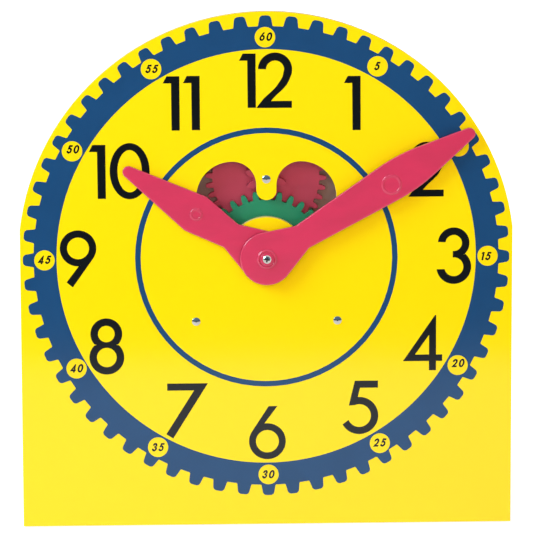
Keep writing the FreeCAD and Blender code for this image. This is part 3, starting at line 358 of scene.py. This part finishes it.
nodePaints = {
    "face_board": boardPaint,
    "window_pane": clearFinish(paneLook),
    "hour_hand": handPlastic,
    "minute_hand": handPlastic,
    "hour_wheel": greenPlastic,
    "idler_gear": redPlastic,
    "hub_screw": metalFinish("screwNickel", screwLook),
    "idler_rivet": nickel,
    "cover_rivets": nickel,
    "rivet_washers": nickel,
    "minute_pinion": steel,
    "minute_arbor": steel,
    "bushing_lock_ring": steel,
    "hand_washer": steel,
    "spring_washer": steel,
    "arbor_clip": steel,
    "idler_sleeve": steel,
    "stand_brackets": steel,
    "hour_tube": brass,
    "hub_bushing": brass,
    "rear_bushing": brass,
    "back_cover": enamelFinish(enamelLook),
    "stand_bail": metalFinish("zincWire", wireLook),
    "stand_sleeves": rubberFinish(rubberLook),
}
for name, material in nodePaints.items():
    node = nodes[name]
    node.data.materials.clear()
    node.data.materials.append(material)
print(f"finishes on {len(nodePaints)} nodes")


# The print is thin sheets of ink, drawn in millimetres on the dial's own plane.
printLook = {
    "centre": (-0.1, -0.3),  # from the hub's axis: the sheet is never laid quite true
    "inkHeight": 0.03,
    "discHeight": 0.045,
    "figureHeight": 0.06,
    "arcStep": 5,  # degrees between the points of a curve
    "bendSteps": 4,
    "weldGap": 0.001,  # points closer than this are one
}
printShift = Vector((*printLook["centre"], 0)) * mm
printPlace = dialPlace @ Matrix.Translation(printShift) @ Matrix.Scale(mm, 4)


def arc(x, y, radius, start, end, height=None):
    # points on a circle from one angle to another; height makes it an ellipse
    steps = max(2, round(abs(end - start) / printLook["arcStep"]))
    tall = height or radius
    turns = [math.radians(start + (end - start) * step / steps) for step in range(steps + 1)]
    return [(x + radius * math.cos(turn), y + tall * math.sin(turn)) for turn in turns]


def bend(*points):
    # a smooth line through points
    spots = [Vector(point) for point in (points[0], *points, points[-1])]
    steps = printLook["bendSteps"]
    line = []
    for before, start, end, after in zip(spots, spots[1:], spots[2:], spots[3:]):
        for step in range(steps):
            share = step / steps
            turn = (end - before) * share + (2 * before - 5 * start + 4 * end - after) * share ** 2
            turn += (3 * start - 3 * end + after - before) * share ** 3
            line.append(tuple(start + turn / 2))
    return line + [tuple(points[-1])]


def tangentAngle(point, centre, radius):
    # where a line from a point touches a circle on its left, as an angle about the centre
    away = Vector(point) - Vector(centre)
    return math.degrees(math.atan2(away.y, away.x) + math.acos(radius / away.length))


def ringFigure(centre, outer, inner, crotch, tailInner, tailOuter):
    # a six or a nine: a ring, and a tail that leaves it along its outer side
    start = math.degrees(math.atan2(crotch[1] - centre[1], crotch[0] - centre[0]))
    end = tangentAngle(tailOuter, centre, outer) - 360
    return [
        arc(*centre, outer, start, end) + [tailOuter, tailInner, crotch],
        arc(*centre, inner, 0, 355),
    ]


# Each figure's outlines in millimetres, about its middle; the ones after the first are holes.
figures = {
    "0": [arc(0, 0, 13.1, 0, 355, 18.65), arc(0, 0, 8.0, 0, 355, 14.0)],
    "1": [[(-5.5, 13.2), (-3.0, 17.9), (5.4, 17.9), (5.5, -17.9), (0.1, -17.9), (-0.1, 13.2)]],
    "2": [
        arc(0.3, 7.0, 11.2, 178, -28)
        + bend((10.3, 1.6), (8.0, -2.9), (4.9, -6.4), (1.2, -9.8), (-2.4, -13.7))
        + [(11.3, -13.7), (11.3, -18.3), (-12.1, -18.3)]
        + bend((-6.9, -11.7), (-0.7, -6.1), (2.4, -2.3), (5.2, 2.2))
        + arc(0.3, 7.0, 5.9, 0, 178)
    ],
    "3": [
        arc(-0.1, 8.6, 10.4, 176, -46)
        + [(6.1, 0.9)]
        + arc(0, -7.3, 11.5, 50, -172)
        + arc(0, -7.3, 6.3, -166, 90)
        + [(-0.7, -1.2), (-0.7, 3.2)]
        + arc(-0.1, 8.6, 5.4, -90, 174)
    ],
    "4": [
        [
            (4.2, -18.6), (8.9, -18.6), (8.9, -12.3), (13.0, -12.3), (13.0, -7.9),
            (8.9, -7.9), (8.9, 18.7), (8.2, 18.7), (-13.1, -12.3), (4.2, -12.3),
        ],
        [(4.2, 5.3), (-5.1, -7.9), (4.2, -7.9)],
    ],
    "5": [
        [(-3.6, 18.0), (11.8, 18.0), (11.8, 13.2), (-0.1, 13.2), (-1.6, 7.1)]
        + arc(-0.6, -5.6, 12.6, 92, -152)
        + arc(-0.6, -5.6, 7.7, -158, 112)
        + [(-7.6, 1.2)]
    ],
    "6": ringFigure((0, -5.8), 12.2, 7.6, (-1.9, 6.4), (6.7, 18.0), (0.9, 18.0)),
    "7": [
        [(-13.1, 18.6), (13.9, 18.6), (-9.3, -18.6), (-13.9, -15.7), (4.7, 13.8), (-13.1, 13.8)],
    ],
    "8": [
        arc(-0.1, 8.4, 10.5, -41, 221)
        + [(-6.5, 1.1)]
        + arc(0.1, -7.4, 11.5, 135, 405)
        + [(6.4, 1.1)],
        arc(-0.1, 8.4, 5.5, 0, 355),
        arc(0.1, -7.4, 6.5, 0, 355),
    ],
    "9": ringFigure((0, 7.0), 12.0, 7.2, (1.3, -4.8), (-7.8, -15.7), (-3.7, -19.0)),
}

# each hour's digits, with the middle of each digit across and up from the print's centre
hourPlaces = [
    ("1", 56.6, 102.3),
    ("2", 105.5, 58.15),
    ("3", 123.7, 0.15),
    ("4", 103.3, -58.1),
    ("5", 61.9, -101.3),
    ("6", 0.2, -117.9),
    ("7", -53.0, -102.6),
    ("8", -105.9, -58.6),
    ("9", -124.0, 0.3),
    ("1", -110.8, 58.0),
    ("0", -89.6, 58.35),
    ("1", -62.0, 102.9),
    ("1", -48.75, 103.05),
    ("1", -12.1, 117.5),
    ("2", 5.7, 117.75),
]
minuteLook = {
    # for each disc its turn from the top, its distance from the middle, and how far its number sits
    # to the right of and above the disc's middle
    "places": [
        (-0.2, 146.05, 0.65, 0.35), (30.05, 146, -0.25, 0.2), (60, 146.1, 0, 0.3),
        (90, 146, -1.05, -0.2), (120.1, 146.3, 0.5, 1.4), (149.2, 146.45, 0, 0.45),
        (179.65, 146.3, 0, 0.1), (209.7, 146.2, 0, 0), (239.8, 145.65, 0.25, 0.2),
        (269.8, 146.15, 0, 0.4), (299.45, 146.1, 0.75, 1.3), (329.15, 146.3, 0.45, 0.15),
    ],
    "disc": 6.7,
    "discCorners": 64,
    "gap": 1.6,
}
# narrow squeezes a figure sideways, slant leans it in degrees, bolder pushes its outlines out
hourStyle = {"scale": 1.0, "narrow": 1.0, "slant": 0.0, "bolder": 0.0}
minuteStyle = {"scale": 0.139, "narrow": 0.85, "slant": 12.0, "bolder": 2.0}
ringLook = {
    "teeth": 60,
    "inner": 138.2,
    "root": 153.3,
    "tip": 160.35,
    "rootHalf": 4.7,
    "tipHalf": 3.8,
    "tipRound": 2.6,
    "tipLean": 0.2,  # how much of the flank's slant moves the tip's rounding
    "rootRound": 0.7,
    # two points of the rounding at the root, out and across, as shares of rootRound
    "foot": (0.12, 0.35),
    "heel": (1, -0.15),
    "valleySteps": 4,
    "circleSteps": 360,
    "joinGap": 0.01,
    # how far the drawn teeth run ahead of even steps, every twelve degrees from the top
    "drift": [
        -0.4, 1.1, 1.1, 1.05, 0.5, 0.1, 0.5, 0.3, 0.5, 1.15,
        0.95, 0.4, 0, -0.7, -0.8, -0.9, -0.7, -0.65, -0.6, -0.65,
        -0.55, -0.4, -0.35, -0.45, -0.55, -0.3, -0.3, -0.9, -0.7, -0.6,
    ],
}
circleLook = {"inner": 82.9, "outer": 86.55}


def evaluatedMesh(source):
    bpy.context.view_layer.update()
    graph = bpy.context.evaluated_depsgraph_get()
    return bpy.data.meshes.new_from_object(source.evaluated_get(graph), depsgraph=graph)


def mergeDoubles(mesh):
    build = bmesh.new()
    build.from_mesh(mesh)
    bmesh.ops.remove_doubles(build, verts=build.verts, dist=printLook["weldGap"])
    bmesh.ops.recalc_face_normals(build, faces=build.faces)
    build.to_mesh(mesh)
    build.free()


def addPiece(name, mesh, body):
    piece = bpy.data.objects.new(name, mesh)
    bpy.context.scene.collection.objects.link(piece)
    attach(piece, body)


def inkSheet(name, outlines, height, material):
    # outlines fill by turns, so one inside another is a hole
    curve = bpy.data.curves.new(name, "CURVE")
    curve.dimensions = "2D"
    curve.fill_mode = "BOTH"
    curve.extrude = height / 2
    for outline in outlines:
        spline = curve.splines.new("POLY")
        spline.points.add(len(outline) - 1)
        spline.use_cyclic_u = True
        for spot, (x, y) in zip(spline.points, outline):
            spot.co = (x, y, 0, 1)
    drawing = bpy.data.objects.new(name, curve)
    bpy.context.scene.collection.objects.link(drawing)
    mesh = evaluatedMesh(drawing)
    bpy.data.objects.remove(drawing)
    mesh.transform(Matrix.Translation((0, 0, height / 2)))
    mergeDoubles(mesh)
    mesh.transform(printPlace)
    mesh.materials.clear()
    mesh.materials.append(material)
    mesh.name = name
    addPiece(name, mesh, "case")


def grown(outline, distance):
    # an outline pushed out by a distance, or in where the distance is negative
    spots = [Vector(spot) for spot in outline]
    after = spots[1:] + spots[:1]
    sides = [(end - start).normalized() for start, end in zip(spots, after) if end != start]
    spots = [start for start, end in zip(spots, after) if end != start]
    area = sum(start.cross(end) for start, end in zip(spots, spots[1:] + spots[:1]))
    way = distance * math.copysign(1, area)
    pushed = []
    for spot, before, ahead in zip(spots, sides[-1:] + sides[:-1], sides):
        out = Vector((before.y + ahead.y, -before.x - ahead.x))
        # the limit keeps a sharp corner from shooting out
        pushed.append(tuple(spot + out * way / max(0.5, 1 + before.dot(ahead))))
    return pushed


def placed(figure, x, y, style):
    # a figure's outlines made narrower, then bolder, slanted, scaled and moved
    lean = math.tan(math.radians(style["slant"]))
    scale = style["scale"]
    outlines = []
    for index, outline in enumerate(figures[figure]):
        distance = style["bolder"] if index == 0 else -style["bolder"]
        spots = grown([(style["narrow"] * px, py) for px, py in outline], distance)
        outlines.append([(x + scale * (px + lean * py), y + scale * py) for px, py in spots])
    return outlines


def hourNumerals():
    outlines = [outline for place in hourPlaces for outline in placed(*place, hourStyle)]
    inkSheet("hourNumerals", outlines, printLook["inkHeight"], blackInk)


def ringSpot(turn, distance):
    # a place on the dial, from an angle clockwise from the top
    angle = math.radians(turn)
    return distance * math.sin(angle), distance * math.cos(angle)


def figureWidth(figure):
    across = [x for outline in figures[figure] for x, y in outline]
    return max(across) - min(across)


def minuteNumerals():
    outlines = []
    for step, (turn, distance, across, above) in enumerate(minuteLook["places"]):
        text = str(60 if step == 0 else 5 * step)
        size = minuteStyle["scale"] * minuteStyle["narrow"]
        widths = [size * figureWidth(figure) for figure in text]
        x, y = ringSpot(turn, distance)
        left = x + across - (sum(widths) + minuteLook["gap"] * (len(text) - 1)) / 2
        for figure, width in zip(text, widths):
            outlines += placed(figure, left + width / 2, y + above, minuteStyle)
            left += width + minuteLook["gap"]
    inkSheet("minuteNumerals", outlines, printLook["figureHeight"], blackInk)


class Tree:
    # a Geometry Nodes tree with named inputs
    def __init__(self, name, inputs):
        self.tree = bpy.data.node_groups.new(name, "GeometryNodeTree")
        self.names = {}
        panel = self.tree.interface
        panel.new_socket("Geometry", in_out="INPUT", socket_type="NodeSocketGeometry")
        for title, kind in inputs.items():
            entry = panel.new_socket(title, in_out="INPUT", socket_type=f"NodeSocket{kind}")
            self.names[title] = entry.identifier
        panel.new_socket("Geometry", in_out="OUTPUT", socket_type="NodeSocketGeometry")
        self.given = self.tree.nodes.new("NodeGroupInput")

    def input(self, title):
        return self.given.outputs[title]

    def add(self, kind, settings=None, sockets=None):
        node = self.tree.nodes.new(kind)
        for name, setting in (settings or {}).items():
            setattr(node, name, setting)
        for name, given in (sockets or {}).items():
            for one in given if isinstance(given, list) else [given]:
                if isinstance(one, bpy.types.NodeSocket):
                    self.tree.links.new(one, node.inputs[name])
                else:
                    node.inputs[name].default_value = one
        return node.outputs[0]

    def finish(self, geometry):
        output = self.tree.nodes.new("NodeGroupOutput")
        self.tree.links.new(geometry, output.inputs["Geometry"])

    def build(self, name, start, values):
        # run the tree on a mesh and keep the plain result
        carrier = bpy.data.objects.new(name, start)
        bpy.context.scene.collection.objects.link(carrier)
        modifier = carrier.modifiers.new(name, "NODES")
        modifier.node_group = self.tree
        for title, given in values.items():
            modifier[self.names[title]] = given
        mesh = evaluatedMesh(carrier)
        bpy.data.objects.remove(carrier)
        mesh.name = name
        return mesh


def ringTree():
    # repeats one tooth's edge round the ring, fills it to the inner circle and gives it thickness
    tree = Tree("toothedRing", {
        "Teeth": "Int", "Inner Radius": "Float", "Thickness": "Float", "Material": "Material",
    })
    count = tree.input("Teeth")
    points = tree.add("GeometryNodePoints", None, {"Count": count})
    index = tree.add("GeometryNodeInputIndex")
    pitch = tree.add("ShaderNodeMath", {"operation": "DIVIDE"}, {0: math.tau, 1: count})
    turn = tree.add("ShaderNodeMath", {"operation": "MULTIPLY"}, {0: index, 1: pitch})
    rotation = tree.add("ShaderNodeCombineXYZ", None, {"Z": turn})
    sockets = {"Points": points, "Instance": tree.input("Geometry"), "Rotation": rotation}
    teeth = tree.add("GeometryNodeInstanceOnPoints", None, sockets)
    edge = tree.add("GeometryNodeRealizeInstances", None, {"Geometry": teeth})
    sockets = {"Geometry": edge, "Distance": ringLook["joinGap"]}
    edge = tree.add("GeometryNodeMergeByDistance", None, sockets)
    outline = tree.add("GeometryNodeMeshToCurve", None, {"Mesh": edge})
    sockets = {"Resolution": ringLook["circleSteps"], "Radius": tree.input("Inner Radius")}
    hole = tree.add("GeometryNodeCurvePrimitiveCircle", None, sockets)
    both = tree.add("GeometryNodeJoinGeometry", None, {"Geometry": [outline, hole]})
    sheet = tree.add("GeometryNodeFillCurve", None, {"Curve": both})
    lift = tree.add("ShaderNodeCombineXYZ", None, {"Z": tree.input("Thickness")})
    sockets = {"Mesh": sheet, "Offset": lift, "Individual": False}
    raised = tree.add("GeometryNodeExtrudeMesh", {"mode": "FACES"}, sockets)
    under = tree.add("GeometryNodeFlipFaces", None, {"Mesh": sheet})
    closed = tree.add("GeometryNodeJoinGeometry", None, {"Geometry": [raised, under]})
    sockets = {"Geometry": closed, "Distance": printLook["weldGap"]}
    closed = tree.add("GeometryNodeMergeByDistance", None, sockets)
    real = tree.add("GeometryNodeRealizeInstances", None, {"Geometry": closed})
    sockets = {"Geometry": real, "Material": tree.input("Material")}
    tree.finish(tree.add("GeometryNodeSetMaterial", None, sockets))
    return tree


def toothEdge(look):
    # one pitch of the ring's outer edge, on the x axis, as a chain of mesh edges
    half = math.pi / look["teeth"]
    rootHalf = look["rootHalf"]
    base = math.sqrt(look["root"] ** 2 - rootHalf ** 2)
    flank = math.degrees(math.atan2(rootHalf - look["tipHalf"], look["tip"] - base))
    tipRound = look["tipRound"]
    inward = tipRound * (1 - math.sin(math.radians(flank)) * look["tipLean"])
    tip = arc(look["tip"] - tipRound, look["tipHalf"] - inward, tipRound, 90 - flank, 0)
    rootAngle = math.atan2(rootHalf, base)
    steps = look["valleySteps"]
    valley = []
    for step in range(steps + 1):
        turn = half + (rootAngle - half) * step / steps
        valley.append((look["root"] * math.cos(turn), look["root"] * math.sin(turn)))
    foot, heel = (
        (base + out * look["rootRound"], rootHalf + across * look["rootRound"])
        for out, across in (look["foot"], look["heel"])
    )
    softened = bend(valley[-2], foot, heel)
    upper = valley[:-1] + softened[1:] + tip
    lower = [(x, -y) for x, y in reversed(upper)]
    chain = upper + lower
    mesh = bpy.data.meshes.new("toothEdge")
    edges = [(index, index + 1) for index in range(len(chain) - 1)]
    mesh.from_pydata([(x, y, 0) for x, y in chain], edges, [])
    return mesh


def ringDrift(spot):
    # the drift at a spot as an angle, blended between the given ones
    drift = ringLook["drift"]
    step = math.atan2(spot.x, spot.y) / math.tau * len(drift) % len(drift)
    low = int(step)
    ahead = drift[(low + 1) % len(drift)]
    return (drift[low % len(drift)] * (low + 1 - step) + ahead * (step - low)) / ringLook["tip"]


def toothedRing():
    values = {
        "Teeth": ringLook["teeth"],
        "Inner Radius": ringLook["inner"],
        "Thickness": printLook["inkHeight"],
        "Material": blueInk,
    }
    mesh = ringTree().build("toothedRing", toothEdge(ringLook), values)
    mergeDoubles(mesh)
    for vertex in mesh.vertices:
        vertex.co.rotate(Matrix.Rotation(-ringDrift(vertex.co), 3, "Z"))
    mesh.transform(printPlace)
    addPiece("toothedRing", mesh, "case")


def discTree():
    # a flat disc at each of the given points
    tree = Tree("minuteDiscs", {
        "Disc Radius": "Float", "Thickness": "Float", "Material": "Material",
    })
    points = tree.add("GeometryNodeMeshToPoints", None, {"Mesh": tree.input("Geometry")})
    sockets = {
        "Vertices": minuteLook["discCorners"],
        "Radius": tree.input("Disc Radius"),
        "Depth": tree.input("Thickness"),
    }
    disc = tree.add("GeometryNodeMeshCylinder", None, sockets)
    discs = tree.add("GeometryNodeInstanceOnPoints", None, {"Points": points, "Instance": disc})
    real = tree.add("GeometryNodeRealizeInstances", None, {"Geometry": discs})
    sockets = {"Geometry": real, "Material": tree.input("Material")}
    tree.finish(tree.add("GeometryNodeSetMaterial", None, sockets))
    return tree


def minuteDiscs():
    places = bpy.data.meshes.new("minutePlaces")
    places.from_pydata([(*ringSpot(*place[:2]), 0) for place in minuteLook["places"]], [], [])
    values = {
        "Disc Radius": minuteLook["disc"],
        "Thickness": printLook["discHeight"],
        "Material": yellowInk,
    }
    mesh = discTree().build("minuteDiscs", places, values)
    mesh.transform(Matrix.Translation((0, 0, printLook["discHeight"] / 2)))
    mesh.transform(printPlace)
    addPiece("minuteDiscs", mesh, "case")


hourNumerals()
toothedRing()
minuteDiscs()
minuteNumerals()
circle = [arc(0, 0, circleLook[edge], 0, 359) for edge in ("outer", "inner")]
inkSheet("thinCircle", circle, printLook["inkHeight"], blueInk)
print("print on the dial done")


floorLook = {
    "size": 60.0,
    "colour": (0.74, 0.82, 0.84),
    "rough": 0.9,
    "glow": 0.7,
    "fade": (1.0, 2.4),  # metres from the clock between which the floor turns plain white
}
worldLook = {
    "fill": [0.31, 0.25, 0.22, 1],
    "room": [0.05, 0.05, 0.05, 1],  # in front of the clock, as a mirror shows it
    "ceiling": [0.13, 0.22, 0.34, 1],
    "sweep": (-0.6, -0.2),  # headings between which the room turns into the white sweep
    "horizon": (0.08, 0.35),  # and those upward, between which it turns into the ceiling
}
cameraLook = {
    # degrees off the dial's normal, then the distance and the size of the view in millimetres
    "aboveNormal": 9.918,
    "leftOfNormal": 1.862,
    "roll": 0.188,
    "distance": 2636.0,
    "millimetresPerPixel": 0.659,
    "imagePixels": 540,
    "printCentrePixel": (266.495, 257.688),
    "sensor": 36.0,
    "clip": (0.1, 100),
}
lamps = {
    # place across, up and out from the hub in metres, width in metres, watts, tint, seen in mirrors
    # or not: the cool key and the warm fills make white together
    "keyLamp": {
        "place": (-1.9, 1.35, 1.1), "width": 1.3, "watts": 53,
        "tint": (0.55, 0.91, 1), "mirrored": True,
    },
    "leftFill": {
        "place": (-0.8, 0.55, 2.6), "width": 2.0, "watts": 24,
        "tint": (1, 0.66, 0.59), "mirrored": False,
    },
    "rightFill": {
        "place": (0.8, 0.55, 2.6), "width": 2.0, "watts": 25,
        "tint": (1, 0.66, 0.59), "mirrored": False,
    },
    "backLamp": {
        "place": (0, 1.1, -2.6), "width": 1.8, "watts": 34,
        "tint": (1, 0.98, 0.95), "mirrored": False,
    },
}


def rayKind(paint, kind):
    return paint.add("ShaderNodeLightPath", output=f"Is {kind} Ray")


def whiteRays(paint):
    # rays that see the floor white: the camera's, and those by way of a mirror or a clear sheet
    direct = rayKind(paint, "Camera").math("MAXIMUM", rayKind(paint, "Glossy"))
    return direct.math("MAXIMUM", rayKind(paint, "Transmission"))


def addFloor():
    paint = Paint("paleFloor")
    seen = whiteRays(paint)
    matt = paint.shader(solid(floorLook["colour"]), floorLook["rough"], Specular_IOR_Level=0.0)
    sockets = {"Color": solid((1, 1, 1)), "Strength": floorLook["glow"]}
    glow = paint.add("ShaderNodeEmission", None, sockets)
    near = paint.add("ShaderNodeAddShader", None, [matt, glow])
    # away from the clock, and in mirrors, the floor is the same white as the backdrop
    reach = paint.add("ShaderNodeVectorMath", {"operation": "LENGTH"}, [paint.place], "Value")
    plain = reach.between(*floorLook["fade"]).math("MAXIMUM", rayKind(paint, "Glossy"))
    white = paint.add("ShaderNodeEmission", None, {"Color": solid((1, 1, 1)), "Strength": 1.0})
    both = paint.add("ShaderNodeMixShader", None, [plain, near, white])
    surface = paint.add("ShaderNodeMixShader", None, [seen, matt, both])
    half = floorLook["size"] / 2
    corners = [(-half, -half, 0), (half, -half, 0), (half, half, 0), (-half, half, 0)]
    mesh = bpy.data.meshes.new("floor")
    mesh.from_pydata(corners, [], [(0, 1, 2, 3)])
    mesh.materials.append(paint.finish(surface))
    floor = bpy.data.objects.new("floor", mesh)
    bpy.context.scene.collection.objects.link(floor)


def addWorld():
    # white behind the clock and at its sides, a dim room in front, a soft fill for all but mirrors
    paint = Paint("studio", "worlds")
    kinds = ("Camera", "Glossy", "Transmission")
    camera, mirrored, through = (rayKind(paint, kind) for kind in kinds)
    heading = paint.add("ShaderNodeTexCoord", output="Generated")
    sweep = paint.add("ShaderNodeSeparateXYZ", None, [heading], "Y").between(*worldLook["sweep"])
    upward = paint.add("ShaderNodeSeparateXYZ", None, [heading], "Z").between(*worldLook["horizon"])
    shown = camera.math("MAXIMUM", sweep * mirrored.math("MAXIMUM", through))
    room = paint.mix(upward, worldLook["room"], worldLook["ceiling"])
    soft = paint.mix(mirrored, worldLook["fill"], room)
    colour = paint.mix(shown, soft, solid((1, 1, 1)))
    light = paint.add("ShaderNodeBackground", None, {"Color": colour, "Strength": 1.0})
    bpy.context.scene.world = paint.finish(light, "ShaderNodeOutputWorld")


def addLamp(name, look):
    light = bpy.data.lights.new(name, "AREA")
    light.size = look["width"]
    light.energy = look["watts"]
    light.color = look["tint"]
    lamp = bpy.data.objects.new(name, light)
    lamp.visible_glossy = look["mirrored"]
    bpy.context.scene.collection.objects.link(lamp)
    place = dialPlace @ Vector(look["place"])
    aim = (hub - place).to_track_quat("-Z", "Y")
    lamp.matrix_world = Matrix.LocRotScale(place, aim, None)


def addCamera():
    look = cameraLook
    data = bpy.data.cameras.new("camera")
    focal = look["distance"] / look["millimetresPerPixel"]
    data.sensor_width = look["sensor"]
    data.lens = look["sensor"] * focal / look["imagePixels"]
    data.clip_start, data.clip_end = look["clip"]
    turn = (
        Matrix.Rotation(math.radians(look["roll"]), 3, "Z")
        @ Matrix.Rotation(math.radians(look["aboveNormal"]), 3, "X")
        @ Matrix.Rotation(math.radians(look["leftOfNormal"]), 3, "Y")
    )
    middle = look["imagePixels"] / 2
    x, y = look["printCentrePixel"]
    scale = look["millimetresPerPixel"]
    offset = Vector(((middle - x) * scale, (y - middle) * scale, look["distance"]))
    printCentre = printPlace.translation
    turned = dialTurn @ turn.transposed()
    place = printCentre + turned @ offset * mm
    camera = bpy.data.objects.new("camera", data)
    bpy.context.scene.collection.objects.link(camera)
    camera.matrix_world = Matrix.Translation(place) @ turned.to_4x4()
    bpy.context.scene.camera = camera


addFloor()
addWorld()
for name, look in lamps.items():
    addLamp(name, look)
addCamera()
bpy.context.scene.view_settings.view_transform = "Standard"
print("floor, light and camera done")
